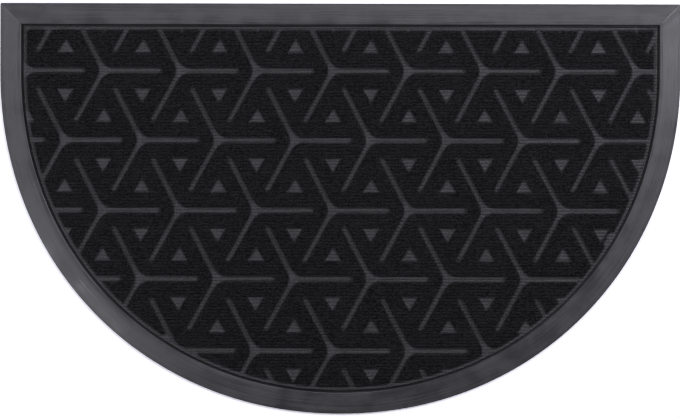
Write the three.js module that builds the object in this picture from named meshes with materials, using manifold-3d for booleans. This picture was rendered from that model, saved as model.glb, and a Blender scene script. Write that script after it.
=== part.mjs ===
// Half-round rubber doormat with a pressed carpet insert.
//
// Two pieces, as the mat is made. A moulded rubber base has a thin sheet in its middle and a bevelled
// border round it, mitred at the two back corners. A needled carpet insert, cut to the same half-round
// shape, lies in the base, a narrow gap inside the border. A pattern is pressed into the carpet: a
// lattice of three-armed grooves, two small triangles beside each, and a pressed margin round its edge.
//
// Millimetres, +Z up. The origin is on the floor at the middle of the mat. +X runs along the straight
// back edge, and +Y runs from the round front to that edge.

import * as THREE from "three";
import { mergeVertices } from "three/addons/utils/BufferGeometryUtils.js";
import Module from "manifold-3d";

const wasm = await Module();
wasm.setup();

// Outline: straight back, straight flanks, then a bow a little squarer than an ellipse.
const MAT_WIDTH = 750;
const MAT_DEPTH = 452;
const FLANK_LENGTH = 75.5;
const BOW_POWER = 2.06;
const BOW_STEPS = 96;

// Insets from the outline.
const BORDER_WIDTH = 23.4;
const EDGE_GAP = 1.7;
const CARPET_INSET = BORDER_WIDTH + EDGE_GAP;
const MARGIN_WIDTH = 4.3;
const LAND_INSET = CARPET_INSET + MARGIN_WIDTH;

// Heights above the floor.
const RUBBER_SHEET = 2.4;
const SEAT_CLEARANCE = 0.3;
const CARPET_FLOOR = 5.4;
const CARPET_TOP = 8;

// Section of the rubber border, from its outer foot to the inner wall's foot: a low rim, the long convex
// bevel, the flat crest and its rounded inner lip. Each row is a loop round the mat: its inset from the
// outline, its height, and the radius of its two back corners.
const BORDER_SECTION = [
  { inset: 0, height: 0, corner: 2.5 },
  { inset: 0, height: 1.4, corner: 2.5 },
  { inset: 0.8, height: 2, corner: 2.2 },
  { inset: 3.3, height: 2.4, corner: 1.9 },
  { inset: 11.4, height: 5, corner: 1.3 },
  { inset: 19.6, height: 6.9, corner: 0.9 },
  { inset: 22.2, height: 7.1, corner: 0.8 },
  { inset: 23, height: 6.7, corner: 0.7 },
  { inset: BORDER_WIDTH, height: 6, corner: 0.6 },
  { inset: BORDER_WIDTH, height: RUBBER_SHEET, corner: 0.6 },
];
const CORNER_STEPS = 3;
const CARPET_CORNER = 1.2;
const LAND_CORNER = 3.5;

// Lattice of the pressed pattern. Each next row is about half a pitch to the right.
const MOTIF_PITCH = 84.2;
const ROW_PITCH = 76.9;
const ROW_SHIFT = 42.3;
const FIRST_HUB = { x: -262.3, y: 152.2 };
const ROWS_BEHIND = 1;
const ROWS_AHEAD = 5;

// Three-armed groove: one row an arm, as its direction and its reach from the hub to its tip.
const ARM_WIDTH = 5;
const ARMS = [
  { degrees: 0, reach: 62.6 },
  { degrees: 117.5, reach: 64.4 },
  { degrees: 241.5, reach: 62.8 },
];
// Fillets between an arm and the next one.
const HUB_FILLETS = [
  { radius: 14, steps: 3 },
  { radius: 15, steps: 2 },
  { radius: 15, steps: 3 },
];
const TIP_RADIUS = 1.7;
const TIP_STEPS = 1;

// Small triangles, one above and one below the level arm, with their points away from it.
const TRIANGLE = { middle: 42.8, base: 20.1, point: 34.8, half: 8.4 };

// How far the cutters that press the pattern stand above the carpet's top.
const CUTTER_RISE = 1;

const RUBBER_FINISH = { color: 0x55565a, roughness: 0.55, metalness: 0 };
const CARPET_FINISH = { color: 0x1c1c1e, roughness: 0.95, metalness: 0 };

// Loop of points with each corner turned into an arc. A corner is { x, y, radius, steps }, and one
// with no radius stays a point.
function roundedLoop(corners) {
  const loop = [];
  corners.forEach((corner, i) => {
    const here = new THREE.Vector2(corner.x, corner.y);
    if (!corner.radius) {
      loop.push(here);
      return;
    }
    const before = corners.at(i - 1);
    const after = corners[(i + 1) % corners.length];
    const back = new THREE.Vector2(before.x, before.y).sub(here).normalize();
    const ahead = new THREE.Vector2(after.x, after.y).sub(here).normalize();
    const halfAngle = Math.acos(back.dot(ahead)) / 2;
    const tangent = corner.radius / Math.tan(halfAngle);
    const middle = back
      .clone()
      .add(ahead)
      .setLength(corner.radius / Math.sin(halfAngle))
      .add(here);
    const start = back.setLength(tangent).add(here).sub(middle);
    const end = ahead.setLength(tangent).add(here).sub(middle);
    const turn = (Math.PI - 2 * halfAngle) * Math.sign(start.cross(end));
    for (let k = 0; k <= corner.steps; k++) {
      const spoke = start.clone().rotateAround(new THREE.Vector2(), (turn * k) / corner.steps);
      loop.push(spoke.add(middle));
    }
  });
  return loop;
}

// Half-round outline at an inset, counter-clockwise from its back right corner. The bow is the curve
// |x/a|^n + |y/b|^n = 1, and each of its points moves inwards along the curve's own normal.
function halfRound(inset, cornerRadius) {
  const half = MAT_WIDTH / 2;
  const back = MAT_DEPTH / 2 - inset;
  const bowDepth = MAT_DEPTH - FLANK_LENGTH;
  const bowStart = MAT_DEPTH / 2 - FLANK_LENGTH;
  const corner = { radius: cornerRadius, steps: CORNER_STEPS };
  const loop = [
    { x: half - inset, y: back, ...corner },
    { x: inset - half, y: back, ...corner },
  ];
  for (let k = 0; k <= BOW_STEPS; k++) {
    const angle = (Math.PI * k) / BOW_STEPS;
    const across = Math.cos(angle);
    const along = Math.sin(angle);
    const x = -Math.sign(across) * half * Math.abs(across) ** (2 / BOW_POWER);
    const y = -bowDepth * Math.abs(along) ** (2 / BOW_POWER);
    const normal = new THREE.Vector2(
      Math.sign(x) * (Math.abs(x) / half) ** (BOW_POWER - 1) / half,
      -((Math.abs(y) / bowDepth) ** (BOW_POWER - 1)) / bowDepth,
    ).setLength(inset);
    loop.push({ x: x - normal.x, y: bowStart + y - normal.y });
  }
  return roundedLoop(loop);
}

// Closed solid through loops that have the same number of points, with flat ends.
function loftLoops(loops) {
  const count = loops[0].points.length;
  const position = loops.flatMap(({ points, height }) => points.flatMap((p) => [p.x, p.y, height]));
  const index = [];
  for (let ring = 0; ring + 1 < loops.length; ring++) {
    for (let k = 0; k < count; k++) {
      const a = ring * count + k;
      const b = ring * count + ((k + 1) % count);
      index.push(a, b, b + count, a, b + count, a + count);
    }
  }
  const last = (loops.length - 1) * count;
  for (const [a, b, c] of THREE.ShapeUtils.triangulateShape(loops[0].points, [])) {
    index.push(a, c, b);
  }
  for (const [a, b, c] of THREE.ShapeUtils.triangulateShape(loops.at(-1).points, [])) {
    index.push(last + a, last + b, last + c);
  }
  const geometry = new THREE.BufferGeometry();
  geometry.setAttribute("position", new THREE.Float32BufferAttribute(position, 3));
  geometry.setIndex(index);
  return geometry;
}

// Upright prism of a loop, with an optional hole, between two heights.
function prism(loop, low, high, hole) {
  const shape = new THREE.Shape(loop);
  if (hole) shape.holes.push(new THREE.Path(hole));
  const geometry = new THREE.ExtrudeGeometry(shape, { depth: high - low, bevelEnabled: false });
  return geometry.translate(0, 0, low);
}

function toSolid(geometry) {
  const bare = geometry.clone();
  bare.deleteAttribute("normal");
  bare.deleteAttribute("uv");
  const merged = mergeVertices(bare);
  const vertProperties = merged.attributes.position.array;
  const triVerts = new Uint32Array(merged.index.array);
  return new wasm.Manifold(new wasm.Mesh({ numProp: 3, vertProperties, triVerts }));
}

function toGeometry(solid) {
  const { vertProperties, triVerts } = solid.getMesh();
  const geometry = new THREE.BufferGeometry();
  geometry.setAttribute("position", new THREE.Float32BufferAttribute(vertProperties, 3));
  geometry.setIndex(new THREE.Uint32BufferAttribute(triVerts, 1));
  geometry.computeVertexNormals();
  return geometry;
}

// Outline of a three-armed groove round its hub: each arm's tip, then the fillet to the next arm.
function tripodLoop() {
  const corners = [];
  ARMS.forEach((arm, i) => {
    const next = ARMS[(i + 1) % ARMS.length];
    const angle = THREE.MathUtils.degToRad(arm.degrees);
    const gap = THREE.MathUtils.degToRad((next.degrees - arm.degrees + 360) % 360);
    const axis = new THREE.Vector2(Math.cos(angle), Math.sin(angle));
    const side = new THREE.Vector2(-axis.y, axis.x).multiplyScalar(ARM_WIDTH / 2);
    const tip = axis.clone().multiplyScalar(arm.reach);
    const round = { radius: TIP_RADIUS, steps: TIP_STEPS };
    corners.push({ x: tip.x - side.x, y: tip.y - side.y, ...round });
    corners.push({ x: tip.x + side.x, y: tip.y + side.y, ...round });
    const crotch = new THREE.Vector2(ARM_WIDTH / 2 / Math.sin(gap / 2), 0);
    crotch.rotateAround(new THREE.Vector2(), angle + gap / 2);
    corners.push({ x: crotch.x, y: crotch.y, ...HUB_FILLETS[i] });
  });
  return roundedLoop(corners);
}

// Outline of a small triangle. side is 1 above the level arm and -1 below it.
function triangleLoop(side) {
  const { middle, base, point, half } = TRIANGLE;
  return [
    new THREE.Vector2(middle - side * half, side * base),
    new THREE.Vector2(middle + side * half, side * base),
    new THREE.Vector2(middle, side * point),
  ];
}

// Places of the hubs, row by row from the back to the front, as far as a groove can reach the carpet.
function hubPlaces() {
  const places = [];
  const columns = Math.ceil(MAT_WIDTH / MOTIF_PITCH);
  for (let row = -ROWS_BEHIND; row <= ROWS_AHEAD; row++) {
    for (let column = -columns; column <= columns; column++) {
      const x = FIRST_HUB.x + column * MOTIF_PITCH + row * ROW_SHIFT;
      const y = FIRST_HUB.y - row * ROW_PITCH;
      if (Math.abs(x) < (MAT_WIDTH + MOTIF_PITCH) / 2) places.push({ x, y });
    }
  }
  return places;
}

function rubberBase() {
  const loops = BORDER_SECTION.map(({ inset, height, corner }) => ({
    points: halfRound(inset, corner),
    height,
  }));
  return loftLoops(loops);
}

// Carpet with its underside at its own zero: a block, less its pressed margin and the pattern.
function carpetInsert() {
  const underside = RUBBER_SHEET + SEAT_CLEARANCE;
  const thickness = CARPET_TOP - underside;
  const pressed = CARPET_FLOOR - underside;
  const aboveTop = thickness + CUTTER_RISE;
  const landLoop = halfRound(LAND_INSET, LAND_CORNER);
  const motif = [tripodLoop(), triangleLoop(1), triangleLoop(-1)];
  const cutters = motif.map((loop) => toSolid(prism(loop, pressed, aboveTop)));
  let press = toSolid(prism(halfRound(0, CARPET_CORNER), pressed, aboveTop, landLoop));
  for (const { x, y } of hubPlaces()) {
    for (const cutter of cutters) press = press.add(cutter.translate([x, y, 0]));
  }
  const block = toSolid(prism(halfRound(CARPET_INSET, CARPET_CORNER), 0, thickness));
  return toGeometry(block.subtract(press));
}

function namedMesh(name, geometry, finish) {
  const mesh = new THREE.Mesh(geometry, new THREE.MeshStandardMaterial(finish));
  mesh.name = name;
  return mesh;
}

const mat = new THREE.Group();
mat.add(namedMesh("rubber_base", rubberBase(), RUBBER_FINISH));

const carpet = namedMesh("carpet_insert", carpetInsert(), CARPET_FINISH);
carpet.position.z = RUBBER_SHEET + SEAT_CLEARANCE;
mat.add(carpet);

export default mat;
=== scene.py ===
"""The looks of a half-round rubber doormat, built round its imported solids.

A moulded rubber base has a bevelled border, mitred at its two back corners. A ribbed needled carpet lies in
it, with three-armed grooves, small triangles and a narrow margin pressed into its pile.

Metres, +Z up, the origin on the floor at the middle of the mat. +X runs along the straight back edge, to the
right as seen from above, and +Y runs from the round front to that edge.
"""

import logging
import math
from collections.abc import Iterator, Mapping, Sequence
from dataclasses import dataclass, field
from enum import Enum
from typing import Any, NamedTuple

import bpy
import numpy as np
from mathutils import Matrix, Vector


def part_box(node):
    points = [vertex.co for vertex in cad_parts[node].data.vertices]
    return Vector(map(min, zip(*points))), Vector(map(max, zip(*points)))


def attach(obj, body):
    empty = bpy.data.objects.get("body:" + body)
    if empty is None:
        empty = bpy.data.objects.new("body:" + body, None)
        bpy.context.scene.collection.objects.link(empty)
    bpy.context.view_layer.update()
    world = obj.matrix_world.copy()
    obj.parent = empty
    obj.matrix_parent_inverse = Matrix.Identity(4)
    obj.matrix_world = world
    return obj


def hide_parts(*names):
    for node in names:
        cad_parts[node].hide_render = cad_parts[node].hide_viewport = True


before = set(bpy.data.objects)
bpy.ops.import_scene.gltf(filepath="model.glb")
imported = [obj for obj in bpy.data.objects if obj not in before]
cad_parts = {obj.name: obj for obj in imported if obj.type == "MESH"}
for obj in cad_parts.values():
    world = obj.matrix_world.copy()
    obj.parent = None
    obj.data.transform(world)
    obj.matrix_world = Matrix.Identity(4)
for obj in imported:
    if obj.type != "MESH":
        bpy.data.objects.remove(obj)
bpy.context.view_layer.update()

MM = 0.001
PHOTO_WIDTH = 680
PHOTO_PIXEL = 1.10262 * MM
SMALL = 1e-6

log = logging.getLogger("doormat")


class Body(Enum):
    """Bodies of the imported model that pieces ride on."""

    ROOT = "root"


class Slot(Enum):
    """Material slots of the record."""

    RUBBER = "rubber"
    CARPET = "carpet"


class Node(Enum):
    """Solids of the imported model."""

    BASE = "rubber_base"
    INSERT = "carpet_insert"


class Seed(Enum):
    """Seeds of the random numbers, by what they vary."""

    WALLS = 3
    WEAR = 5
    SWELL = 7
    FIBRES = 11
    WANDER = 13


def node_size(node: Node) -> Vector:
    """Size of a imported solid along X, Y and Z."""
    low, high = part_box(node.value)
    return high - low


def smooth(share: np.ndarray) -> np.ndarray:
    """Share with an eased start and end: three times its square less twice its cube."""
    return share * share * (3 - 2 * share)


def linked(name: str, data: bpy.types.ID) -> bpy.types.Object:
    """New object of that name and data in the scene, at the origin."""
    thing = bpy.data.objects.new(name, data)
    bpy.context.scene.collection.objects.link(thing)
    return thing


def run_along(points: np.ndarray) -> np.ndarray:
    """Distance of each point of a line from its first one, along the line."""
    steps = np.linalg.norm(np.diff(points, axis=0), axis=1)
    return np.concatenate([[0], np.cumsum(steps)])


def value_noise(x: np.ndarray, y: np.ndarray, cell: float, seed: Seed) -> np.ndarray:
    """Smooth noise from a seeded table of random numbers, one for each corner of a square grid.

    Between four corners the value is their mean, weighted by the eased place in the square. The table
    starts again after its last row and column.

    Args:
        x: Places along X.
        y: Places along Y, of a shape that goes with x.
        cell: Side of a square.
        seed: Seed of the table.

    Returns:
        Values from -1 to 1.
    """
    side = 251
    table = np.random.default_rng(seed.value).uniform(-1, 1, (side, side))
    u, v = np.broadcast_arrays(x / cell, y / cell)
    column, row = np.floor(u).astype(int), np.floor(v).astype(int)
    u, v = smooth(u - column), smooth(v - row)
    here, right = column % side, (column + 1) % side
    low, high = row % side, (row + 1) % side
    near = table[low, here] * (1 - u) + table[low, right] * u
    far = table[high, here] * (1 - u) + table[high, right] * u
    return near * (1 - v) + far * v


def rounded_meet(first: np.ndarray, second: np.ndarray, radius: float) -> np.ndarray:
    """Distance inside two edges, with the corner where they meet rounded.

    It is the smaller of the two distances, but where both are under the radius it is the radius less the
    distance to the rounding's centre.

    Args:
        first: Distance inside one edge.
        second: Distance inside the other edge.
        radius: Radius of the rounding.

    Returns:
        Distance inside both, negative outside.
    """
    near = np.minimum(first, second)
    to_centre = np.hypot(np.maximum(radius - first, 0), np.maximum(radius - second, 0))
    return np.where(near >= radius, near, radius - to_centre)


def faded(outside: np.ndarray, start: float, end: float) -> np.ndarray:
    """Share that falls evenly from 1 to 0 between two distances."""
    return np.clip((end - outside) / (end - start), 0, 1)


def grid_quads(rows: int, columns: int, closed: bool) -> np.ndarray:
    """Quads of a grid of points that is stored row by row.

    Each quad joins a point, the next in its row, and the two above them in the next row.

    Args:
        rows: Number of rows.
        columns: Number of points in a row.
        closed: Whether a row's last point joins its first.

    Returns:
        Point numbers, four for each quad.
    """
    row = np.arange(rows - 1)[:, None] * columns
    column = np.arange(columns if closed else columns - 1)[None, :]
    after = (column + 1) % columns
    corners = (row + column, row + after, row + after + columns, row + column + columns)
    return np.stack(corners, axis=-1).reshape(-1, 4)


def merged_faces(quads: np.ndarray) -> tuple[np.ndarray, np.ndarray]:
    """Faces that are left of quads after some of their corners were merged.

    A quad with one pair of equal neighbours becomes a triangle, and one with more pairs is dropped.

    Args:
        quads: Point numbers, four for each quad.

    Returns:
        The quads that are still whole, and the triangles.
    """
    same = quads == np.roll(quads, -1, axis=1)
    pairs = same.sum(axis=1)
    triangles = quads[pairs == 1][~same[pairs == 1]].reshape(-1, 3)
    return quads[pairs == 0], triangles


@dataclass
class MeshPiece:
    """A piece of the mat as whole arrays, until Blender gets its mesh.

    Attributes:
        name: Name of the piece.
        points: Places of its points, one row each.
        faces: Arrays of faces, each with one row of point numbers for each face.
        caps: Flat faces of many corners, each an array of point numbers.
        lengthwise: For each point, the distance along the piece and the one across it, kept as a UV map.
        values: More numbers for each point, by the name of the attribute that keeps them.
        crease: For each point, whether it lies on a crease. An edge between two such points is sharp.
    """

    name: str
    points: np.ndarray
    faces: list[np.ndarray]
    caps: list[np.ndarray] = field(default_factory=list)
    lengthwise: np.ndarray | None = None
    values: dict[str, np.ndarray] = field(default_factory=dict)
    crease: np.ndarray | None = None

    def make(self, material: bpy.types.Material, slot: Slot) -> bpy.types.Object:
        """Makes the object, which rides on the root body.

        Args:
            material: Finish of the piece.
            slot: Material slot of the record that the finish stands for. It is not used.

        Returns:
            The new object, at the origin.
        """
        mesh = bpy.data.meshes.new(self.name)
        corners = np.concatenate([*(faces.ravel() for faces in self.faces), *self.caps])
        sides = [np.full(len(faces), faces.shape[1]) for faces in self.faces]
        counts = np.concatenate([*sides, np.array([len(cap) for cap in self.caps], int)])
        mesh.vertices.add(len(self.points))
        mesh.vertices.foreach_set("co", self.points.astype(np.float32).ravel())
        mesh.loops.add(len(corners))
        mesh.loops.foreach_set("vertex_index", corners.astype(np.int32))
        mesh.polygons.add(len(counts))
        mesh.polygons.foreach_set("loop_start", (np.cumsum(counts) - counts).astype(np.int32))
        mesh.polygons.foreach_set("use_smooth", np.ones(len(counts), bool))
        if self.lengthwise is not None:
            layer = mesh.uv_layers.new(name="lengthwise")
            layer.uv.foreach_set("vector", self.lengthwise[corners].astype(np.float32).ravel())
        for name, numbers in self.values.items():
            layer = mesh.attributes.new(name, "FLOAT", "POINT")
            layer.data.foreach_set("value", numbers.astype(np.float32))
        mesh.update(calc_edges=True)
        if self.crease is not None:
            ends = np.empty(len(mesh.edges) * 2, np.int32)
            mesh.edges.foreach_get("vertices", ends)
            sharp = mesh.attributes.new("sharp_edge", "BOOLEAN", "EDGE")
            sharp.data.foreach_set("value", self.crease[ends.reshape(-1, 2)].all(axis=1))
        mesh.validate()
        mesh.materials.append(material)
        piece = linked(self.name, mesh)
        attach(piece, Body.ROOT.value)
        mesh.calc_loop_triangles()
        log.info("%s: %d triangles", self.name, len(mesh.loop_triangles))
        return piece


class Shade:
    """A socket in a material's node tree. Python's operators on it add Math nodes."""

    def __init__(self, graph: "Graph", socket: bpy.types.NodeSocket) -> None:
        """Keeps the graph that the socket belongs to, and the socket."""
        self.graph = graph
        self.socket = socket

    def __add__(self, other: "Shade | float") -> "Shade":
        """Sum of the two."""
        return self.graph.math("ADD", self, other)

    def __radd__(self, other: float) -> "Shade":
        """Sum of a number and this."""
        return self.graph.math("ADD", other, self)

    def __sub__(self, other: "Shade | float") -> "Shade":
        """This less the other."""
        return self.graph.math("SUBTRACT", self, other)

    def __rsub__(self, other: float) -> "Shade":
        """A number less this."""
        return self.graph.math("SUBTRACT", other, self)

    def __mul__(self, other: "Shade | float") -> "Shade":
        """Product of the two."""
        return self.graph.math("MULTIPLY", self, other)

    def __rmul__(self, other: float) -> "Shade":
        """Product of a number and this."""
        return self.graph.math("MULTIPLY", other, self)

    def ramp(self, low: float, high: float) -> "Shade":
        """Smooth rise from 0 to 1.

        Args:
            low: Value of this where the rise starts. It may be the larger of the two.
            high: Value of this where the rise ends.

        Returns:
            The rise.
        """
        inputs = {"Value": self, "From Min": low, "From Max": high}
        node = self.graph.node("ShaderNodeMapRange", {"interpolation_type": "SMOOTHSTEP"}, inputs)
        return Shade(self.graph, node.outputs[0])


def blended(values: Sequence[Shade], weights: Sequence[float]) -> Shade:
    """Sum of the values, each times its weight."""
    first, *rest = [value * weight for value, weight in zip(values, weights)]
    return sum(rest, first)


class Graph:
    """The node tree of one material."""

    def __init__(self, name: str) -> None:
        """Starts a material with an empty tree.

        Args:
            name: Name of the material.
        """
        self.material = bpy.data.materials.new(name)
        self.material.use_nodes = True
        self.tree = self.material.node_tree
        self.tree.nodes.clear()

    def node(
        self, kind: str, settings: Mapping[str, Any] | None = None, inputs: Mapping[Any, Any] | None = None
    ) -> bpy.types.Node:
        """Adds a node, sets it, and then fills its inputs.

        Args:
            kind: Type of the node.
            settings: Its settings by name.
            inputs: Values, or Shades to link, by the name or number of the input.

        Returns:
            The new node.
        """
        node = self.tree.nodes.new(kind)
        for name, value in (settings or {}).items():
            setattr(node, name, value)
        for key, value in (inputs or {}).items():
            if isinstance(value, Shade):
                self.tree.links.new(value.socket, node.inputs[key])
            else:
                node.inputs[key].default_value = value
        return node

    def math(self, operation: str, *values: Shade | float) -> Shade:
        """Adds a Math node.

        Args:
            operation: The node's operation.
            values: Its inputs, in order.

        Returns:
            The node's result.
        """
        node = self.node("ShaderNodeMath", {"operation": operation}, dict(enumerate(values)))
        return Shade(self, node.outputs[0])

    def place(self) -> Shade:
        """Place of a point on the object, in metres."""
        return Shade(self, self.node("ShaderNodeTexCoord").outputs["Object"])

    def attribute(self, name: str) -> Shade:
        """One of the values that the piece keeps for its points."""
        return Shade(self, self.node("ShaderNodeAttribute", {"attribute_name": name}).outputs["Fac"])

    def lengthwise(self) -> Shade:
        """Distance along the piece and across it, from its UV map."""
        return Shade(self, self.node("ShaderNodeUVMap", {"uv_map": "lengthwise"}).outputs["UV"])

    def noise(
        self, vector: Shade, cell: tuple[float, float, float], detail: float, rough: float = 0.55
    ) -> Shade:
        """Noise from about 0 to 1.

        Args:
            vector: Places.
            cell: Sizes of the noise's cells along the vector's three numbers.
            detail: Number of finer layers on it.
            rough: Strength of each finer layer, as a share of the one before.

        Returns:
            The noise.
        """
        scale = [1 / size for size in cell]
        mapping = self.node("ShaderNodeMapping", {}, {"Vector": vector, "Scale": scale})
        scaled = Shade(self, mapping.outputs["Vector"])
        inputs = {"Vector": scaled, "Scale": 1, "Detail": detail, "Roughness": rough}
        return Shade(self, self.node("ShaderNodeTexNoise", {}, inputs).outputs["Fac"])

    def mix(self, share: Shade, first: Any, second: Any) -> Shade:
        """Colour between two colours: the first where the share is 0, the second where it is 1."""
        node = self.node("ShaderNodeMix", {"data_type": "RGBA"}, {0: share, 6: first, 7: second})
        return Shade(self, node.outputs[2])

    def bump(self, height: Shade, depth: float, below: Shade | None = None) -> Shade:
        """Normal of a surface that rises by height times depth.

        Args:
            height: Height from 0 to 1.
            depth: What height 1 stands for, in metres.
            below: Normal of a coarser relief under this one.

        Returns:
            The normal.
        """
        inputs = {"Height": height, "Strength": 1, "Distance": depth}
        if below is not None:
            inputs["Normal"] = below
        return Shade(self, self.node("ShaderNodeBump", {}, inputs).outputs["Normal"])

    def principled(self, **inputs: Any) -> Shade:
        """Principled surface. An underscore in a name stands for a space."""
        named = {name.replace("_", " "): value for name, value in inputs.items()}
        return Shade(self, self.node("ShaderNodeBsdfPrincipled", {}, named).outputs["BSDF"])

    def finish(self, surface: Shade) -> bpy.types.Material:
        """Links the surface to the output, and returns the material."""
        self.node("ShaderNodeOutputMaterial", {}, {"Surface": surface})
        return self.material


def grey(level: float, cool: float = 0.06, green: float = 0.2) -> tuple[float, float, float, float]:
    """A grey of that level. Its blue is raised by the share cool, and its green by a share of that."""
    return (level, level * (1 + cool * green), level * (1 + cool), 1.0)


@dataclass(frozen=True)
class RubberFinish:
    """Black moulded rubber, satin, with flow streaks and wider bands along the border.

    The weights say how much each noise adds: streaks, bands, clouds and grain to the tint, clouds, streaks
    and grain to the roughness, and streaks and bands to the relief.
    """

    dark: float = 0.015
    light: float = 0.031
    roughness: float = 0.47
    shine: float = 0.5
    streak: tuple[float, float, float] = (90 * MM, 1.8 * MM, 1)
    band: tuple[float, float, float] = (270 * MM, 9 * MM, 1)
    cloud: float = 26 * MM
    grain: float = 0.35 * MM
    tint_weights: tuple[float, ...] = (0.8, 0.5, 0.9, 0.3)
    tint_range: tuple[float, float] = (1.04, 1.46)
    rough_weights: tuple[float, ...] = (0.5, 0.35, 0.06)
    relief_weights: tuple[float, ...] = (0.6, 0.4)
    relief_depth: float = 0.45 * MM
    grain_depth: float = 0.02 * MM

    def material(self) -> bpy.types.Material:
        """Material for a piece with a lengthwise UV map.

        Returns:
            The material.
        """
        graph = Graph("moulded_rubber")
        along = graph.lengthwise()
        place = graph.place()
        streaks = graph.noise(along, self.streak, detail=4)
        bands = graph.noise(along, self.band, detail=2)
        clouds = graph.noise(place, (self.cloud,) * 3, detail=4)
        grain = graph.noise(place, (self.grain,) * 3, detail=3)
        tint = blended((streaks, bands, clouds, grain), self.tint_weights).ramp(*self.tint_range)
        swing = blended((clouds, streaks, grain), self.rough_weights) - sum(self.rough_weights) / 2
        relief = graph.bump(blended((streaks, bands), self.relief_weights), self.relief_depth)
        surface = graph.principled(
            Base_Color=graph.mix(tint, grey(self.dark), grey(self.light)),
            Roughness=self.roughness + swing,
            Normal=graph.bump(grain, self.grain_depth, relief),
            Specular_IOR_Level=self.shine,
        )
        return graph.finish(surface)


class PileLook(NamedTuple):
    """How the pile looks, where it stands up or where it is pressed flat.

    Attributes:
        dark: Level of its darkest grey.
        light: Level of its lightest grey.
        weights: What clumps, fibres and patches add to the share of the lightest grey.
        less: What is taken off that share.
        full: Share from which the grey is the lightest.
        valley: What is left of the share in a valley between two ribs, as painted shade.
        roughness: Roughness.
        shine: Specular level.
    """

    dark: float
    light: float
    weights: tuple[float, float, float]
    less: float
    full: float
    valley: float
    roughness: float
    shine: float


@dataclass(frozen=True)
class CarpetFinish:
    """Near-black needled pile, flatter and greyer where the pattern is pressed into it.

    Cells are along the ribs, across them and upwards. valley_shade_range holds the distances from a rib's
    crest, over the pitch, where the painted shade in the valleys between ribs starts and where it is full.
    """

    standing: PileLook = PileLook(
        dark=0.0015, light=0.013, weights=(0.6, 0.4, 0.2), less=0.16, full=0.9, valley=0.78,
        roughness=1.0, shine=0.06,
    )
    pressed: PileLook = PileLook(
        dark=0.006, light=0.0276, weights=(0.75, 0.4, 0.8), less=0.53, full=0.7, valley=0.5,
        roughness=0.5, shine=0.35,
    )
    fibre: tuple[float, float, float] = (1.05 * MM, 0.35 * MM, 0.35 * MM)
    tuft: tuple[float, float, float] = (1.56 * MM, 1.3 * MM, 5.2 * MM)
    clump_range: tuple[float, float] = (0.3, 0.7)
    cloud: float = 60 * MM
    patch: float = 11 * MM
    valley_shade_range: tuple[float, float] = (0.5, 0.22)
    tuft_depth: float = 0.35 * MM
    fibre_depth: float = 0.18 * MM
    cool: float = 0.04

    def surface(
        self, graph: Graph, look: PileLook, parts: Sequence[Shade], rib_unshaded_share: Shade, relief: Shade
    ) -> Shade:
        """Surface of the pile in one of its two looks.

        Args:
            graph: The carpet's node tree.
            look: The look.
            parts: Clumps, fibres and patches, each from 0 to 1.
            rib_unshaded_share: Share from 0 in a valley between two ribs, where the painted shade is full,
                to 1 on a rib.
            relief: Normal of the pile's relief.

        Returns:
            The surface.
        """
        # Painted shade: the share of the lighter grey drops in the valleys between ribs.
        share = (blended(parts, look.weights) - look.less) * (look.valley + rib_unshaded_share * (1 - look.valley))
        darkest, lightest = grey(look.dark, self.cool), grey(look.light, self.cool)
        return graph.principled(
            Base_Color=graph.mix(share.ramp(0, look.full), darkest, lightest),
            Roughness=look.roughness,
            Specular_IOR_Level=look.shine,
            Normal=relief,
        )

    def material(self, rib: "Ribs") -> bpy.types.Material:
        """Material for the carpet, which keeps a rib number and a pressed share for each point.

        Args:
            rib: The carpet's ribs.

        Returns:
            The material.
        """
        graph = Graph("needled_carpet")
        place = graph.place()
        turn = {"Vector": place, "Rotation": (0, 0, rib.tilt)}
        turned = graph.node("ShaderNodeMapping", {"vector_type": "TEXTURE"}, turn)
        ribwise = Shade(graph, turned.outputs["Vector"])
        half = 0.5
        # Painted shade in the valleys between ribs, on top of the ribs' own relief.
        from_crest = graph.math("ABSOLUTE", graph.math("WRAP", graph.attribute("rib"), half, -half))
        rib_unshaded_share = from_crest.ramp(*self.valley_shade_range)
        tufts = graph.noise(ribwise, self.tuft, detail=1)
        fibres = graph.noise(ribwise, self.fibre, detail=3)
        clouds = graph.noise(place, (self.cloud,) * 3, detail=3)
        patches = graph.noise(place, (self.patch,) * 3, detail=2)
        clumps = tufts.ramp(*self.clump_range)
        relief = graph.bump(fibres, self.fibre_depth, graph.bump(tufts, self.tuft_depth))
        standing = self.surface(graph, self.standing, (clumps, fibres, clouds), rib_unshaded_share, relief)
        pressed = self.surface(graph, self.pressed, (clumps, fibres, patches), rib_unshaded_share, relief)
        # The pressed share mixes the two looks. It also carries the arms' painted shade and the margin's
        # painted light and shade.
        looks = {0: graph.attribute("pressed"), 1: standing, 2: pressed}
        both = graph.node("ShaderNodeMixShader", {}, looks)
        return graph.finish(Shade(graph, both.outputs[0]))


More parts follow.
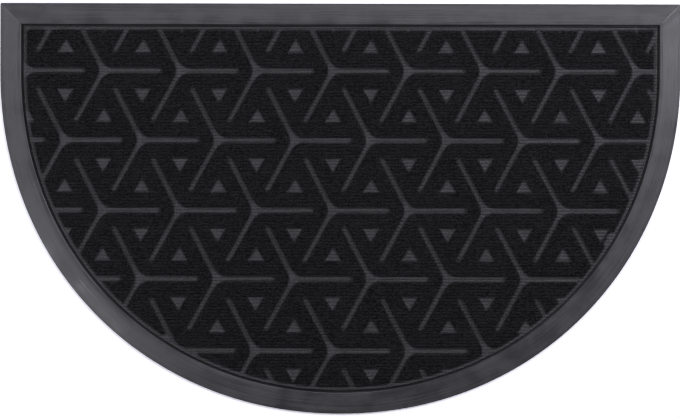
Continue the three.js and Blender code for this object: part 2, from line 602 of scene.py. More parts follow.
@dataclass(frozen=True)
class HalfRound:
    """The mat's outline: a straight back, two straight flanks and a bow a little squarer than an ellipse.

    The bow is the curve |x / a|^n + |y / b|^n = 1, where a is half the width and b the bow's depth.
    """

    width: float
    depth: float
    flank: float = 75.5 * MM
    power: float = 2.06
    back_steps: int = 80
    flank_steps: int = 10
    bow_steps: int = 260
    corner_steps: int = 4

    @property
    def half(self) -> float:
        """Half the width."""
        return self.width / 2

    @property
    def back(self) -> float:
        """Place of the back edge along Y."""
        return self.depth / 2

    @property
    def bow_start(self) -> float:
        """Place along Y where the flanks end and the bow starts."""
        return self.back - self.flank

    @property
    def bow_depth(self) -> float:
        """Depth of the bow."""
        return self.depth - self.flank

    def inside(self, x: np.ndarray, y: np.ndarray, corner: float) -> np.ndarray:
        """Distance inside the outline.

        Beside the flanks and the bow it is one less the curve's value, over that value's slope. It meets
        the distance from the back edge in a rounded corner.

        Args:
            x: Places along X.
            y: Places along Y.
            corner: Radius of the two back corners.

        Returns:
            Distances, negative outside.
        """
        across = np.abs(x) / self.half
        along = np.maximum(self.bow_start - y, 0) / self.bow_depth
        reach = np.maximum((across**self.power + along**self.power) ** (1 / self.power), SMALL)
        rise = self.power - 1
        slope = np.hypot(across**rise / self.half, along**rise / self.bow_depth) / reach**rise
        side = (1 - reach) / np.maximum(slope, SMALL)
        return rounded_meet(side, self.back - y, corner)

    def rings(self, inset: np.ndarray, corner: np.ndarray) -> np.ndarray:
        """Loops inside the outline, each counter-clockwise from the back right corner.

        A loop is an arc, the back edge, an arc, a flank, the bow and a flank. Each point of the bow lies
        inset from the outline along the bow's own normal.

        Args:
            inset: Distance of each loop inside the outline.
            corner: Radius of its two back corners.

        Returns:
            Places along X and Y, as an array of loops by points by 2.
        """
        inset, corner = inset[:, None], corner[:, None]
        turn = np.linspace(0, math.pi / 2, self.corner_steps + 1)[None, :]
        middle_x = self.half - inset - corner
        middle_y = self.back - inset - corner
        back = np.linspace(1, -1, self.back_steps + 1)[None, 1:-1]
        down = np.linspace(0, 1, self.flank_steps + 1)[None, 1:-1]
        flank_y = middle_y + (self.bow_start - middle_y) * down
        angle = np.linspace(0, math.pi, self.bow_steps + 1)[None, :]
        across = -np.sign(np.cos(angle)) * np.abs(np.cos(angle)) ** (2 / self.power)
        along = np.abs(np.sin(angle)) ** (2 / self.power)
        normal_x = np.sign(across) * np.abs(across) ** (self.power - 1) / self.half
        normal_y = along ** (self.power - 1) / self.bow_depth
        length = np.hypot(normal_x, normal_y)
        parts = [
            (middle_x + corner * np.cos(turn), middle_y + corner * np.sin(turn)),
            (middle_x * back, self.back - inset + 0 * back),
            (-middle_x - corner * np.sin(turn), middle_y + corner * np.cos(turn)),
            (inset - self.half + 0 * flank_y, flank_y),
            (
                self.half * across - inset * normal_x / length,
                self.bow_start - self.bow_depth * along + inset * normal_y / length,
            ),
            (self.half - inset + 0 * flank_y, flank_y[:, ::-1]),
        ]
        x = np.concatenate([part[0] for part in parts], axis=1)
        y = np.concatenate([part[1] for part in parts], axis=1)
        return np.stack([x, y], axis=-1)


class SectionPoint(NamedTuple):
    """A corner of the border's section, with the radius that rounds it."""

    inset: float
    height: float
    radius: float


def rounded_section(corners: list[SectionPoint], arc_steps: int) -> np.ndarray:
    """Section with each corner turned into an arc. Its first and last corners stay.

    The arc touches both sides of a corner at the radius times the tangent of half the turn, but no farther
    than their middles. Its points lie on the quadratic curve between those two places with the corner as
    its middle.

    Args:
        corners: Corners of the section.
        arc_steps: Steps of an arc.

    Returns:
        Insets and heights, one row for each point.
    """
    places = np.array([(c.inset, c.height) for c in corners])
    radii = np.array([c.radius for c in corners[1:-1]])
    sides = np.diff(places, axis=0)
    length = np.linalg.norm(sides, axis=1)
    unit = sides / length[:, None]
    turn = np.arccos(np.clip((unit[:-1] * unit[1:]).sum(axis=1), -1, 1))
    tangent = np.minimum(radii * np.tan(turn / 2), 0.5 * np.minimum(length[:-1], length[1:]))
    start = places[1:-1] - unit[:-1] * tangent[:, None]
    end = places[1:-1] + unit[1:] * tangent[:, None]
    t = np.linspace(0, 1, arc_steps + 1)[None, :, None]
    arcs = (1 - t) ** 2 * start[:, None] + 2 * t * (1 - t) * places[1:-1, None] + t**2 * end[:, None]
    return np.concatenate([places[:1], arcs.reshape(-1, 2), places[-1:]])


@dataclass
class RubberBase:
    """The moulded rubber: a sheet under the carpet, and a bevelled border round it.

    The section's corners run from the floor at the rim to the sheet. bevel holds the numbers of the two
    that the bevel joins, and crown is how much it bulges.
    """

    outline: HalfRound
    finish: RubberFinish = field(default_factory=RubberFinish)
    outer_corner: float = 1.4 * MM
    inner_corner: float = 0.6 * MM
    arc_steps: int = 4
    longest_step: float = 1.2 * MM
    crown: float = 0.34 * MM
    corners: list[SectionPoint] = field(
        default_factory=lambda: [
            SectionPoint(0, 0, 0),
            SectionPoint(0, 1.55 * MM, 0.5 * MM),
            SectionPoint(1.3 * MM, 1.9 * MM, 0.4 * MM),
            SectionPoint(2.7 * MM, 2.56 * MM, 0.8 * MM),
            SectionPoint(19.6 * MM, 6.9 * MM, 3 * MM),
            SectionPoint(22.4 * MM, 7.12 * MM, 0.4 * MM),
            SectionPoint(23.1 * MM, 6.85 * MM, 0.3 * MM),
            SectionPoint(23.5 * MM, 6.1 * MM, 0.3 * MM),
            SectionPoint(23.5 * MM, 2.4 * MM, 0),
        ]
    )
    bevel: tuple[int, int] = (3, 4)

    def section(self) -> np.ndarray:
        """Points of the section, close enough together for the bevel's crown.

        The crown adds a half sine to the bevel, between the two corners that it joins.

        Returns:
            Insets and heights, one row for each point.
        """
        rough = rounded_section(self.corners, self.arc_steps)
        along = run_along(rough)
        extra = np.arange(self.longest_step, along[-1], self.longest_step)
        places = np.unique(np.concatenate([along, extra]))
        inset = np.interp(places, along, rough[:, 0])
        height = np.interp(places, along, rough[:, 1])
        foot, crest = (self.corners[number].inset for number in self.bevel)
        share = np.clip((inset - foot) / (crest - foot), 0, 1)
        return np.stack([inset, height + self.crown * np.sin(math.pi * share)], axis=-1)

    def surface(self) -> MeshPiece:
        """The section carried along the outline: one loop for each of its points.

        A point of a loop lies at the section's inset and height. The lengthwise map holds the distance
        along the outermost loop, and the distance along the section.

        Returns:
            The piece, closed by a flat face at each end of the section.
        """
        section = self.section()
        inset, height = section.T
        share = inset / inset.max()
        corner = self.outer_corner + (self.inner_corner - self.outer_corner) * share
        rings = self.outline.rings(inset, corner)
        loops, count = rings.shape[:2]
        points = np.concatenate([rings, np.broadcast_to(height[:, None, None], (loops, count, 1))], axis=-1)
        along = np.broadcast_to(run_along(rings[0]), (loops, count))
        across = np.broadcast_to(run_along(section)[:, None], (loops, count))
        first = np.arange(count)
        return MeshPiece(
            name="rubber_border",
            points=points.reshape(-1, 3),
            faces=[grid_quads(loops, count, closed=True)],
            caps=[first[::-1], first + (loops - 1) * count],
            lengthwise=np.stack([along, across], axis=-1).reshape(-1, 2),
            crease=np.repeat(np.isin(np.arange(loops), (0, loops - 1)), count),
        )

    def build(self) -> list[bpy.types.Object]:
        """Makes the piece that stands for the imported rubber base.

        Returns:
            The piece, in a list.
        """
        piece = self.surface().make(self.finish.material(), Slot.RUBBER)
        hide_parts(Node.BASE.value)
        return [piece]


class Arm(NamedTuple):
    """An arm of a groove: its direction, its reach from the hub, its width and how flat it is pressed.

    The share is set lower on some arms, as painted shade from their walls and the light's direction.
    """

    degrees: float
    reach: float
    width: float
    share: float


class Triangle(NamedTuple):
    """The small triangles beside the level arm, as distances from the hub."""

    middle: float
    base: float
    point: float
    half: float


class Patch(NamedTuple):
    """A round spot by the margin where a narrow tongue of pile is pressed flat too."""

    x: float
    y: float
    radius: float


@dataclass(frozen=True)
class PressedPattern:
    """Lattice of three-armed grooves, each with two small triangles beside its level arm.

    row_rises holds how far each row lies out of the even lattice along Y, from the back. Pairs named fade
    are the distances where a share starts and ends to fade.
    """

    pitch: float = 84.2 * MM
    row_pitch: float = 76.9 * MM
    row_shift: float = 42.3 * MM
    first_hub: tuple[float, float] = (-262.3 * MM, 152.2 * MM)
    tip_radius: float = 1.7 * MM
    tip_slope: float = 0.5
    # Each arm's share is set lower as painted shade from its walls and the light's direction, most on the
    # arm at 117.5 degrees.
    arms: tuple[Arm, ...] = (
        Arm(0, 62.2 * MM, 5.5 * MM, 0.86),
        Arm(117.5, 64.4 * MM, 4.7 * MM, 0.61),
        Arm(241.5, 62.8 * MM, 4.5 * MM, 0.76),
    )
    fillets: tuple[float, ...] = (14 * MM, 15 * MM, 15 * MM)
    hub_shade_fade: tuple[float, float] = (4 * MM, 14 * MM)
    triangle: Triangle = Triangle(42.8 * MM, 20.1 * MM, 34.8 * MM, 8.4 * MM)
    blunt_point: float = 0.9 * MM
    triangle_corner: float = 1.5 * MM
    triangle_share: float = 0.96
    row_rises: tuple[float, ...] = (-0.4 * MM, 0.05 * MM, -0.15 * MM, 1.2 * MM, -0.8 * MM)
    sway: float = 1.65 * MM
    sway_middle: float = -150 * MM
    sway_length: float = 800 * MM
    stretch: float = 0.0065
    aside: float = 0.5 * MM
    sway_row: float = 152 * MM
    stretch_row: float = -78 * MM
    patch_share: float = 1.0
    patches: tuple[Patch, ...] = (
        Patch(300 * MM, -31.5 * MM, 6 * MM),
        Patch(296 * MM, -38 * MM, 5 * MM),
        Patch(-192 * MM, -143 * MM, 4.5 * MM),
        Patch(-160 * MM, -161 * MM, 3.5 * MM),
    )

    def from_arm(self, x: np.ndarray, y: np.ndarray, arm: Arm) -> np.ndarray:
        """Distance outside an arm: a box from the hub to its reach, with a rounded and gently rising tip.

        Args:
            x: Places along X from the hub.
            y: Places along Y from the hub.
            arm: The arm.

        Returns:
            Distances, negative inside.
        """
        turn = math.radians(arm.degrees)
        along = x * math.cos(turn) + y * math.sin(turn)
        across = np.abs(y * math.cos(turn) - x * math.sin(turn))
        past = np.maximum(-along, (along - arm.reach) * self.tip_slope) + self.tip_radius
        beside = across - arm.width / 2 + self.tip_radius
        outside = np.hypot(np.maximum(past, 0), np.maximum(beside, 0))
        return outside + np.minimum(np.maximum(past, beside), 0) - self.tip_radius

    def from_fillet(self, x: np.ndarray, y: np.ndarray, number: int) -> np.ndarray:
        """Distance inside the round corner of pile between an arm and the next one.

        The corner's centre lies on the line halfway between the arms. The distance is the radius less that
        to the centre, in the wedge from the centre to the corner's two ends, as far as the arms' middles.

        Args:
            x: Places along X from the hub.
            y: Places along Y from the hub.
            number: Number of the first arm.

        Returns:
            Distances, endless outside the wedge.
        """
        first, second = self.arms[number], self.arms[(number + 1) % len(self.arms)]
        gap = (second.degrees - first.degrees) % 360
        half_gap, middle = math.radians(gap / 2), math.radians(first.degrees + gap / 2)
        radius = self.fillets[number]
        out = ((first.width + second.width) / 4 + radius) / math.sin(half_gap)
        away_x, away_y = x - out * math.cos(middle), y - out * math.sin(middle)
        inward = -(away_x * math.cos(middle) + away_y * math.sin(middle))
        sideways = np.abs(away_y * math.cos(middle) - away_x * math.sin(middle))
        reach = np.minimum(inward / math.tan(half_gap), (out - inward) * math.tan(half_gap))
        return np.where(sideways < reach, radius - np.hypot(away_x, away_y), np.inf)

    def from_triangle(self, x: np.ndarray, y: np.ndarray) -> np.ndarray:
        """Distance outside the nearer of the two triangles.

        It is measured to the lines of the three sides. The point is blunted by a hyperbola, and the two
        corners at the base are rounded.

        Args:
            x: Places along X from the hub.
            y: Places along Y from the hub.

        Returns:
            Distances, negative inside.
        """
        tall, half = self.triangle.point - self.triangle.base, self.triangle.half
        slant = math.hypot(tall, half)
        up = np.abs(y)
        aside = np.hypot(x - self.triangle.middle, self.blunt_point)
        beside = (aside * tall - (self.triangle.point - up) * half) / slant
        return -rounded_meet(-beside, up - self.triangle.base, self.triangle_corner)

    def drawn_aside(self, x: np.ndarray, y: np.ndarray) -> np.ndarray:
        """How far the carpet has pulled the pattern along X, out of its even lattice.

        At the sway row it follows a cosine along X, at the stretch row it grows evenly with X, and between
        them and past them it is blended evenly along Y.

        Args:
            x: Places along X.
            y: Places along Y.

        Returns:
            Distances along X.
        """
        swayed = self.sway * np.cos(2 * math.pi * (x - self.sway_middle) / self.sway_length)
        share = (y - self.stretch_row) / (self.sway_row - self.stretch_row)
        return self.aside + swayed * share + self.stretch * x * (1 - share)

    def shapes(self, x: np.ndarray, y: np.ndarray) -> Iterator[tuple[np.ndarray, Any]]:
        """The shapes of the motifs round the nine nearest hubs.

        An arm's share carries painted shade, which fades out towards its hub, and so does the fillet's from
        it to the next arm.

        Args:
            x: Places along X.
            y: Places along Y.

        Yields:
            Distances outside a shape, negative inside it, and how flat it is pressed, lowered on the arms as
            painted shade.
        """
        x = x - self.drawn_aside(x, y)
        rises = np.array(self.row_rises)
        nearest_row = np.round((self.first_hub[1] - y) / self.row_pitch)
        for row_step in (-1, 0, 1):
            row = nearest_row + row_step
            rise = rises[np.clip(row, 0, len(rises) - 1).astype(int)]
            from_hub_y = y - rise - self.first_hub[1] + row * self.row_pitch
            start = self.first_hub[0] + row * self.row_shift
            column = np.round((x - start) / self.pitch)
            for column_step in (-1, 0, 1):
                from_hub_x = x - start - (column + column_step) * self.pitch
                # Near the hub the arms' painted shade fades out to the fully pressed look.
                hub = faded(np.hypot(from_hub_x, from_hub_y), *self.hub_shade_fade)
                for number, arm in enumerate(self.arms):
                    share = arm.share + (1 - arm.share) * hub
                    yield self.from_arm(from_hub_x, from_hub_y, arm), share
                    yield self.from_fillet(from_hub_x, from_hub_y, number), share
                yield self.from_triangle(from_hub_x, from_hub_y), self.triangle_share

    def relief(
        self, x: np.ndarray, y: np.ndarray, fade: tuple[float, float]
    ) -> tuple[np.ndarray, np.ndarray]:
        """Distance from the pattern's edges, and the share to which the pile is pressed flat.

        The distance is the smallest of those to the shapes. The share is the largest of the shapes' own,
        each faded to nothing outside the shape. On the arms that share is lowered as painted shade.

        Args:
            x: Places along X.
            y: Places along Y.
            fade: Distances outside a shape where its share starts and ends to fade.

        Returns:
            Distances, negative inside the pattern, and shares from 0 to 1.
        """
        distance = np.full(np.broadcast(x, y).shape, np.inf)
        share = np.zeros(distance.shape)
        spots = [np.hypot(x - spot.x, y - spot.y) - spot.radius for spot in self.patches]
        for outside, flat in (*self.shapes(x, y), *((spot, self.patch_share) for spot in spots)):
            distance = np.minimum(distance, outside)
            share = np.maximum(share, flat * faded(outside, *fade))
        return distance, share


@dataclass(frozen=True)
class Ribs:
    """Ribs of the needled carpet. They run almost along X, turned a little against the mat, and wander.

    Rows follow the ribs. A row's place is the one across the ribs that it would have if they were straight.

    row_phases holds the places of a rib's rows from its crest, and row_gap the smallest gap to a band's
    edge, both over the pitch. The ribs wander fully where the carpet's edge is straight_edge away or more.
    """

    pitch: float = 3.55 * MM
    tilt: float = math.radians(0.41)
    crest: float = 1.1 * MM
    raised_depth: float = 0.45 * MM
    pressed_depth: float = 0.34 * MM
    back_power: float = 2.4
    row_phases: tuple[float, ...] = (-0.5, -0.33, 0, 0.33)
    row_gap: float = 0.05
    wander: float = 0.7 * MM
    wander_length: float = 80 * MM
    wander_width: float = 18 * MM
    straight_edge: float = 15 * MM

    def shift(self, along: np.ndarray, rows: np.ndarray, inside: np.ndarray) -> np.ndarray:
        """How far the ribs wander across themselves: noise drawn out along them, fading towards the edge.

        Args:
            along: Places along the ribs.
            rows: Places of the rows.
            inside: Distances inside the carpet's outline.

        Returns:
            Distances across the ribs.
        """
        drawn = along * self.wander_width / self.wander_length
        noise = value_noise(drawn, rows, self.wander_width, Seed.WANDER)
        return self.wander * noise * smooth(np.clip(inside / self.straight_edge, 0, 1))

    def phase(self, rows: np.ndarray) -> np.ndarray:
        """Number of ribs up to a row, whole on a crest."""
        return (rows - self.crest) / self.pitch

    def bulge(self, rows: np.ndarray) -> np.ndarray:
        """Height of a rib's round back, 0 in a valley and 1 on a crest: one less a power of the distance."""
        phase = self.phase(rows)
        return 1 - np.abs(2 * (phase - np.round(phase))) ** self.back_power

    def rows(self, low: float, high: float) -> np.ndarray:
        """Places across the ribs for the rows of a mesh: some on each rib, the first of them in its valley.

        Args:
            low: Place of the lowest row.
            high: Place of the highest row.

        Returns:
            Rising places, with low and high themselves at the ends.
        """
        first = math.floor((low - self.crest) / self.pitch)
        last = math.ceil((high - self.crest) / self.pitch)
        places = (np.arange(first, last + 1)[:, None] + np.array(self.row_phases)[None, :]).ravel()
        places = places * self.pitch + self.crest
        gap = self.row_gap * self.pitch
        inner = places[(places > low + gap) & (places < high - gap)]
        return np.concatenate([[low], inner, [high]])

    def in_valley(self, rows: np.ndarray) -> np.ndarray:
        """Which of the rows lie in a valley."""
        phase = self.phase(rows)
        half, slack = 0.5, 1e-4
        return np.abs(np.abs(phase - np.round(phase)) - half) < slack

    def along_across(self, x: np.ndarray, y: np.ndarray) -> tuple[np.ndarray, np.ndarray]:
        """Places along and across the ribs of places along X and Y."""
        cos, sin = math.cos(self.tilt), math.sin(self.tilt)
        return x * cos + y * sin, y * cos - x * sin

    def x_y(self, along: np.ndarray, across: np.ndarray) -> tuple[np.ndarray, np.ndarray]:
        """Places along X and Y of places along and across the ribs."""
        cos, sin = math.cos(self.tilt), math.sin(self.tilt)
        return along * cos - across * sin, along * sin + across * cos


class Lie(NamedTuple):
    """How the carpet lies at some places.

    Attributes:
        raised: Distances inside the raised pile, negative where the carpet is pressed.
        pressed: Shares to which the pile is pressed flat, lowered as painted shade on the arms and at the
        margin's sides, and raised as painted light at its front.
        edge: Shares of the way out to the carpet's cut edge, 0 away from it.
    """

    raised: np.ndarray
    pressed: np.ndarray
    edge: np.ndarray


@dataclass(frozen=True)
class LooseFibres:
    """Loose fibres, each a slim three-sided spike that leans over.

    Pairs are the limits of an even random value. tries is the number of places tried for each fibre, sunk
    the depth of its foot in the pile, and clear its smallest distance inside the raised pile.
    """

    count: int = 48000
    tries: int = 3
    length: tuple[float, float] = (0.8 * MM, 1.7 * MM)
    lean: tuple[float, float] = (math.radians(25), math.radians(75))
    radius: tuple[float, float] = (0.06 * MM, 0.13 * MM)
    sunk: float = 0.25 * MM
    clear: float = 0.2 * MM

    def spikes(self, feet: np.ndarray, rng: np.random.Generator) -> tuple[np.ndarray, np.ndarray]:
        """Spikes on their feet, each a small triangle with a tip at its length along its lean.

        Args:
            feet: Places of the feet, one row each.
            rng: Source of the random numbers.

        Returns:
            Points, four for each spike, and triangles.
        """
        count = len(feet)
        length = rng.uniform(*self.length, count)[:, None]
        lean = rng.uniform(*self.lean, count)
        way = rng.uniform(0, 2 * math.pi, count)
        radius = rng.uniform(*self.radius, count)[:, None]
        out = np.stack([np.sin(lean) * np.cos(way), np.sin(lean) * np.sin(way), np.cos(lean)], axis=-1)
        around = way[:, None] + np.array([0, 2, 4])[None, :] * math.pi / 3
        foot = np.stack([radius * np.cos(around), radius * np.sin(around), 0 * around], axis=-1)
        points = np.concatenate([feet[:, None] + foot, (feet + length * out)[:, None]], axis=1)
        spike = np.array([[0, 1, 3], [1, 2, 3], [2, 0, 3], [2, 1, 0]])
        faces = np.arange(count)[:, None, None] * len(spike) + spike[None]
        return points.reshape(-1, 3), faces.reshape(-1, 3)


@dataclass
class CarpetInsert:
    """The ribbed carpet with its pressed pattern and margin, and the loose fibres on its pile.

    The carpet's top is made in bands that meet in valleys between two ribs. They lie on its flat backing.

    floor and top are the heights of the ribs' crests on the pressed and the raised pile. The raised pile's
    wall starts and ends at distances inside its line, which swings in and out a little. A cell is the size
    of a noise's squares. longest_move is how far a point may move onto the wall, over the column pitch, and
    least_rate the slowest change of its distance along a row at which it does. band_seams holds the numbers
    of the ribs in front of which a band ends.
    """

    outline: HalfRound
    pattern: PressedPattern = field(default_factory=PressedPattern)
    ribs: Ribs = field(default_factory=Ribs)
    loose: LooseFibres = field(default_factory=LooseFibres)
    finish: CarpetFinish = field(default_factory=CarpetFinish)
    inset: float = 25.1 * MM
    margin: float = 4.3 * MM
    corner: float = 1.2 * MM
    land_corner: float = 2 * MM
    meet_radius: float = 3 * MM
    underside: float = 2.7 * MM
    backing_top: float = 3.5 * MM
    band_underside: float = 3.4 * MM
    floor: float = 5.3 * MM
    top: float = 7.75 * MM
    wall_start: float = -0.2 * MM
    wall_end: float = 1.9 * MM
    wall_power: float = 2.4
    wall_swing: float = 0.14 * MM
    wall_cell: float = 2.6 * MM
    wear: float = 0.5
    wear_cell: float = 2.3 * MM
    swell: float = 0.1 * MM
    swell_cell: float = 11 * MM
    fade: tuple[float, float] = (-0.9 * MM, 1.4 * MM)
    edge_width: float = 1.1 * MM
    edge_drop: float = 1.1 * MM
    # The margin's share is lowered at the sides as painted shade and raised in front as painted light.
    margin_share: float = 0.83
    side_painted_shade_share: float = 0.62
    front_painted_light_share: float = 1.0
    side_fade: tuple[float, float] = (34 * MM, 60 * MM)
    front_fade: tuple[float, float] = (60 * MM, 160 * MM)
    column_pitch: float = 1.07 * MM
    longest_move: float = 0.42
    least_rate: float = 0.3
    probe: float = 0.05 * MM
    row_trim: float = 0.04 * MM
    band_seams: tuple[int, ...] = (-19, 19)

    def lie(self, x: np.ndarray, y: np.ndarray) -> Lie:
        """How the carpet lies: raised inside the margin and outside the pattern, and pressed elsewhere.

        Args:
            x: Places along X.
            y: Places along Y.

        Returns:
            How it lies there.
        """
        land_inset = self.inset + self.margin
        inside = self.outline.inside(x, y, land_inset + self.land_corner) - land_inset
        uneven = self.wall_swing * value_noise(x, y, self.wall_cell, Seed.WALLS)
        distance, share = self.pattern.relief(x, y, self.fade)
        # The margin's share carries painted shade at the sides and painted light in front.
        share = np.maximum(share, self.margin_press_and_painted_light(x, y) * faded(inside, *self.fade))
        edge = faded(self.inside(x, y), 0, self.edge_width)
        return Lie(rounded_meet(inside, distance, self.meet_radius) + uneven, share * (1 - edge), edge)

    def margin_press_and_painted_light(self, x: np.ndarray, y: np.ndarray) -> np.ndarray:
        """Share to which the margin is pressed flat, with painted shade at its sides and painted light in
        front.

        Args:
            x: Places along X.
            y: Places along Y.

        Returns:
            Shares from 0 to 1.
        """
        # Painted shade at the sides and painted light in front.
        side = faded(self.outline.half - np.abs(x), *self.side_fade)
        front = faded(self.outline.back + y, *self.front_fade)
        more = (self.front_painted_light_share - self.margin_share) * front
        return self.margin_share + more - (self.margin_share - self.side_painted_shade_share) * side

    def inside(self, x: np.ndarray, y: np.ndarray) -> np.ndarray:
        """Distance inside the carpet's outline."""
        return self.outline.inside(x, y, self.inset + self.corner) - self.inset

    def height(self, x: np.ndarray, y: np.ndarray, lie: Lie, rows: np.ndarray) -> np.ndarray:
        """Height of the carpet's top.

        The wall of the raised pile starts steep and rounds off: one less a power of the share of the way
        from its foot to its top. The ribs' round backs are added, lower where the carpet is pressed. The
        carpet's cut edge drops off as the square of the share of the way to it.

        Args:
            x: Places along X.
            y: Places along Y.
            lie: How the carpet lies there.
            rows: Places of the rows that run there.

        Returns:
            Heights above the floor.
        """
        way = np.clip((lie.raised - self.wall_start) / (self.wall_end - self.wall_start), 0, 1)
        share = 1 - (1 - way) ** self.wall_power
        worn = 1 + self.wear * value_noise(x, rows, self.wear_cell, Seed.WEAR)
        uneven = self.swell * value_noise(x, y, self.swell_cell, Seed.SWELL) * share
        depth = self.ribs.pressed_depth + (self.ribs.raised_depth - self.ribs.pressed_depth) * share
        valley = (self.ribs.bulge(rows) - 1) * depth * worn
        pile = self.floor + (self.top - self.floor) * share + valley + uneven
        return pile - self.edge_drop * lie.edge**2

    def loop(self) -> np.ndarray:
        """Outline of the carpet, counter-clockwise."""
        return self.outline.rings(np.array([self.inset]), np.array([self.corner]))[0]

    def row_ends(self, rows: np.ndarray) -> tuple[np.ndarray, np.ndarray]:
        """Places along the ribs where rows start and end at the carpet's outline.

        The outline is cut at its lowest and its highest point across the ribs, and each half is read off.

        Args:
            rows: Places of the rows.

        Returns:
            Where they start, and where they end.
        """
        loop = self.loop()
        turned = np.stack(self.ribs.along_across(loop[:, 0], loop[:, 1]), axis=-1)
        rising = np.roll(turned, -int(np.argmin(turned[:, 1])), axis=0)
        highest = int(np.argmax(rising[:, 1]))
        right = rising[: highest + 1]
        left = np.vstack([rising[highest:], rising[:1]])[::-1]
        return tuple(np.interp(rows, chain[:, 1], chain[:, 0]) for chain in (left, right))

    def places(self, along: np.ndarray, rows: np.ndarray) -> tuple[np.ndarray, np.ndarray]:
        """Places along X and Y on rows that wander with the ribs.

        Args:
            along: Places along the ribs, an array of rows by columns.
            rows: Places of the rows.

        Returns:
            Places along X and along Y.
        """
        across = rows[:, None]
        inside = self.inside(*self.ribs.x_y(along, across))
        return self.ribs.x_y(along, across + self.ribs.shift(along, across, inside))

    def snapped(self, along: np.ndarray, rows: np.ndarray) -> np.ndarray:
        """Places along the ribs, moved onto the foot or the top of a wall where one is near.

        A point moves along its row by its distance from the wall's line, over the rate at which that
        distance changes along the row. It moves by less than half the pitch of the columns, so that the
        points stay in order.

        Args:
            along: Places along the ribs, an array of rows by columns.
            rows: Places of the rows.

        Returns:
            The new places.
        """
        distance = self.lie(*self.places(along, rows)).raised
        ahead = self.lie(*self.places(along + self.probe, rows)).raised
        rate = (ahead - distance) / self.probe
        steep = np.where(np.abs(rate) > self.least_rate, rate, np.inf)
        levels = np.array([self.wall_start, self.wall_end])
        moves = (levels - distance[..., None]) / steep[..., None]
        nearest = np.take_along_axis(moves, np.abs(moves).argmin(axis=-1)[..., None], axis=-1)[..., 0]
        return along + np.where(np.abs(nearest) < self.longest_move * self.column_pitch, nearest, 0)

    def band(self, number: int, low: float, high: float) -> MeshPiece:
        """A band of the carpet's top, between two rows along the ribs.

        Its points lie where even columns cross the rows. A column that would lie outside the outline is
        held at its row's end, and the faces that this leaves with no area are dropped. Two more points on
        the underside close each row.

        Args:
            number: Number of the band, from the front.
            low: Place of its first row across the ribs.
            high: Place of its last row.

        Returns:
            The band as a closed piece.
        """
        rows = self.ribs.rows(low, high)
        start, end = (ends[:, None] for ends in self.row_ends(rows))
        reach = math.ceil(self.outline.half / self.column_pitch)
        columns = np.arange(-reach, reach + 1)[None, :] * self.column_pitch
        held = np.clip(columns, start, end)
        inner = (held > start) & (held < end)
        x, y = self.places(np.where(inner, self.snapped(held, rows), held), rows)
        lie = self.lie(x, y)
        top = np.stack([x, y, self.height(x, y, lie, rows[:, None])], axis=-1)
        under = top[:, [-1, 0]].copy()
        under[:, :, 2] = self.band_underside
        points = np.concatenate([top, under], axis=1)
        count = points.shape[1]
        # The points held at a row's end count as one.
        first = (columns <= start).sum(axis=1) - 1
        last = columns.size - (columns >= end).sum(axis=1)
        column = np.clip(np.arange(columns.size)[None, :], first[:, None], last[:, None])
        column = np.hstack([column, np.tile([count - 2, count - 1], (len(rows), 1))])
        row = np.arange(len(rows)) * count
        merged = (row[:, None] + column).ravel()
        whole, triangles = merged_faces(merged[grid_quads(len(rows), count, closed=True)])
        caps = [merged[:count][::-1], merged[-count:]]
        caps = [cap[cap != np.roll(cap, 1)] for cap in caps]
        used = np.unique(np.concatenate([whole.ravel(), triangles.ravel(), *caps]))
        pressed = np.hstack([lie.pressed, np.zeros((len(rows), 2))]).ravel()
        rib = np.repeat(self.ribs.phase(rows), count)
        # Creases run along the valleys, the band's own edges and its underside.
        crease = np.zeros((len(rows), count), bool)
        crease[self.ribs.in_valley(rows)] = True
        crease[[0, -1]] = True
        crease[:, -2:] = True
        crease = crease.ravel()
        crease[np.concatenate([row + first, row + last])] = True
        return MeshPiece(
            name=f"carpet_band_{number}",
            points=points.reshape(-1, 3)[used],
            faces=[np.searchsorted(used, whole), np.searchsorted(used, triangles)],
            caps=[np.searchsorted(used, cap) for cap in caps],
            values={"pressed": pressed[used], "rib": rib[used]},
            crease=crease[used],
        )

    def bands(self) -> list[MeshPiece]:
        """The bands from front to back, with seams in valleys between ribs.

        Returns:
            The bands.
        """
        across = self.ribs.along_across(*self.loop().T)[1]
        seams = [self.ribs.crest + (seam - 0.5) * self.ribs.pitch for seam in self.band_seams]
        places = [across.min() + self.row_trim, *seams, across.max() - self.row_trim]
        return [self.band(i + 1, low, high) for i, (low, high) in enumerate(zip(places, places[1:]))]

    def backing(self) -> MeshPiece:
        """The flat backing under the bands: two loops of the outline with a flat face at each end.

        Returns:
            The backing as a closed piece.
        """
        loop = self.loop()
        heights = (self.underside, self.backing_top)
        points = np.concatenate([np.column_stack([loop, np.full(len(loop), z)]) for z in heights])
        first = np.arange(len(loop))
        return MeshPiece(
            name="carpet_backing",
            points=points,
            faces=[grid_quads(2, len(loop), closed=True)],
            caps=[first[::-1], first + len(loop)],
            values={"pressed": np.zeros(len(points)), "rib": np.zeros(len(points))},
            crease=np.ones(len(points), bool),
        )

    def fibres(self) -> MeshPiece:
        """Loose fibres at random places on the raised pile.

        Returns:
            The fibres as one piece.
        """
        rng = np.random.default_rng(Seed.FIBRES.value)
        tries = self.loose.count * self.loose.tries
        x = rng.uniform(-self.outline.half, self.outline.half, tries)
        y = rng.uniform(-self.outline.back, self.outline.back, tries)
        kept = np.flatnonzero(self.lie(x, y).raised > self.loose.clear)[: self.loose.count]
        x, y = x[kept], y[kept]
        along, rows = self.ribs.along_across(x, y)
        rows = rows - self.ribs.shift(along, rows, self.inside(x, y))
        height = self.height(x, y, self.lie(x, y), rows) - self.loose.sunk
        points, faces = self.loose.spikes(np.stack([x, y, height], axis=-1), rng)
        rib = np.repeat(self.ribs.phase(rows), len(points) // len(rows))
        return MeshPiece(
            name="carpet_fibres",
            points=points,
            faces=[faces],
            values={"pressed": np.zeros(len(points)), "rib": rib},
        )

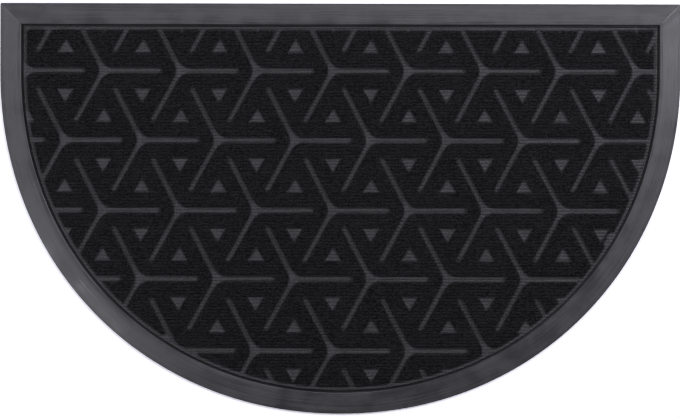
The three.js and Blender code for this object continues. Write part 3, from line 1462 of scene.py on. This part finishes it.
    def build(self) -> list[bpy.types.Object]:
        """Returns:
            The pieces, the backing first.
        """
        material = self.finish.material(self.ribs)
        backing = self.backing().make(material, Slot.CARPET)
        on_it = [piece.make(material, Slot.CARPET) for piece in (*self.bands(), self.fibres())]
        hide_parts(Node.INSERT.value)
        loop = self.loop()
        return [backing, *on_it]


class Softbox(NamedTuple):
    """A square lamp aimed at the mat: its direction in degrees, its distance and side, and its watts."""

    name: str
    azimuth: float
    elevation: float
    distance: float
    side: float
    power: float

    def direction(self) -> Vector:
        """Unit vector from the mat to the lamp."""
        azimuth, elevation = math.radians(self.azimuth), math.radians(self.elevation)
        level = math.cos(elevation)
        return Vector((math.cos(azimuth) * level, math.sin(azimuth) * level, math.sin(elevation)))


@dataclass
class Studio:
    """Floor, lamps and camera.

    The lens and the sensor are in millimetres, and pixel_blur is in pixels. The camera is turned by roll,
    because the mat lies a little turned in the photograph.
    """

    lens: float = 250
    sensor: float = 36
    far: float = 100
    view_width: float = PHOTO_WIDTH * PHOTO_PIXEL
    view_level: float = 2 * MM
    aim: tuple[float, float] = (-0.15 * MM, 0.15 * MM)
    roll: float = math.radians(0.127)
    pixel_blur: float = 1.15
    floor_level: float = -0.2 * MM
    floor_reach: float = 12
    floor_grey: float = 0.86
    floor_roughness: float = 0.9
    floor_shine: float = 0.1
    sky: float = 0.25
    daylight: tuple[float, float, float] = (0.97, 0.965, 1.06)
    lamps: tuple[Softbox, ...] = (
        Softbox("right_softbox", 30, 40, 1.4, 0.6, 15),
        Softbox("left_back_softbox", 150, 40, 1.4, 0.6, 6.9),
        Softbox("left_front_softbox", 210, 40, 1.4, 0.6, 7.1),
        Softbox("back_softbox", 84, 40, 1.4, 0.6, 4.1),
        Softbox("front_softbox", 330, 35, 3.2, 1.6, 13.5),
    )

    def lay_floor(self) -> None:
        """Lays a wide pale floor just under the mat."""
        mesh = bpy.data.meshes.new("studio_floor")
        reach = self.floor_reach
        corners = [(-reach, -reach), (reach, -reach), (reach, reach), (-reach, reach)]
        mesh.from_pydata([(x, y, self.floor_level) for x, y in corners], [], [(0, 1, 2, 3)])
        graph = Graph("pale_floor")
        surface = graph.principled(
            Base_Color=grey(self.floor_grey, cool=0),
            Roughness=self.floor_roughness,
            Specular_IOR_Level=self.floor_shine,
        )
        mesh.materials.append(graph.finish(surface))
        linked("studio_floor", mesh)

    def hang_lamps(self) -> None:
        """Hangs the lamps round the mat, and sets an even light from all sides."""
        for lamp in self.lamps:
            light = bpy.data.lights.new(lamp.name, "AREA")
            light.size = lamp.side
            light.energy = lamp.power
            light.color = self.daylight
            holder = linked(lamp.name, light)
            holder.location = lamp.direction() * lamp.distance
            holder.rotation_euler = (-lamp.direction()).to_track_quat("-Z", "Y").to_euler()
            holder.visible_camera = False
        world = bpy.data.worlds.new("studio")
        world.use_nodes = True
        background = world.node_tree.nodes["Background"]
        background.inputs["Color"].default_value = (*self.daylight, 1)
        background.inputs["Strength"].default_value = self.sky
        bpy.context.scene.world = world

    def set_camera(self) -> None:
        """Sets the camera straight above the mat, as far as the lens needs for the photograph's width."""
        data = bpy.data.cameras.new("camera")
        data.sensor_width = self.sensor
        data.lens = self.lens
        data.clip_end = self.far
        camera = linked("camera", data)
        height = self.view_width * self.lens / self.sensor + self.view_level
        camera.location = (self.aim[0], self.aim[1], height)
        camera.rotation_euler = (0, 0, self.roll)
        bpy.context.scene.camera = camera
        bpy.context.scene.cycles.filter_width = self.pixel_blur
        bpy.context.scene.view_settings.view_transform = "Standard"

    def build(self) -> None:
        """Makes the whole studio."""
        self.lay_floor()
        self.hang_lamps()
        self.set_camera()


def main() -> None:
    """Builds the studio, the rubber base and the carpet."""
    logging.basicConfig(level=logging.INFO, format="%(name)s: %(message)s")
    base_size = node_size(Node.BASE)
    outline = HalfRound(width=base_size.x, depth=base_size.y)
    Studio().build()
    made = RubberBase(outline).build() + CarpetInsert(outline).build()
    log.info("pieces: %s", ", ".join(piece.name for piece in made))


if __name__ == "__main__":
    main()
